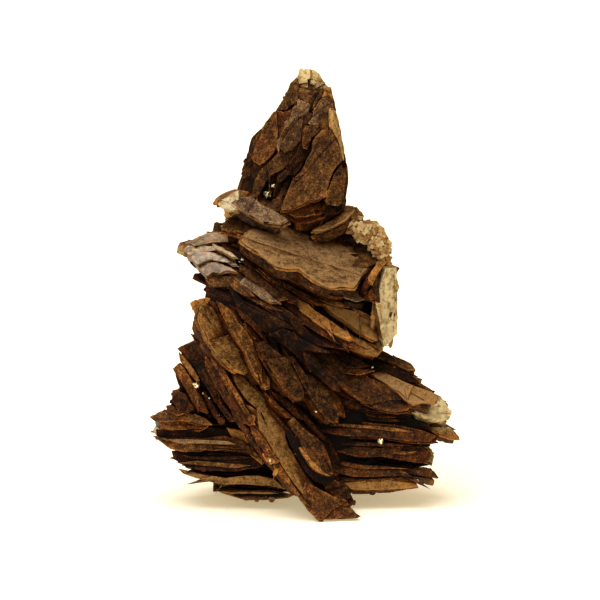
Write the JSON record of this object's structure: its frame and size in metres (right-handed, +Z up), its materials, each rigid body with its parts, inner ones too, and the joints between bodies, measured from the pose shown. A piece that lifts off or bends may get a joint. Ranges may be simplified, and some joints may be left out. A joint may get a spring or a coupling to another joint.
{
  "type": "siderite with pyrite mineral specimen",
  "caption": "Small tower of thin, lens-shaped siderite plates grown together in fans, with small pyrite crystals on it, standing on three worn points.",
  "frame": {"origin": "middle of the bounding box's underside, on the surface the specimen stands on", "axes": "+Z up through the spire, +X to the right as seen from the front, +Y to the back"},
  "size_m": [0.0469, 0.0253, 0.0655],
  "materials": {
    "siderite": "weathered, satin",
    "pyrite": "bright crystal faces"
  },
  "bodies": {
    "root": {"siderite": "siderite", "pyrite_spire": "pyrite", "pyrite_spire_small": "pyrite", "pyrite_shoulder": "pyrite", "pyrite_left_leaves": "pyrite", "pyrite_right_fan": "pyrite", "pyrite_shoulder_edge": "pyrite"}
  },
  "joints": []
}
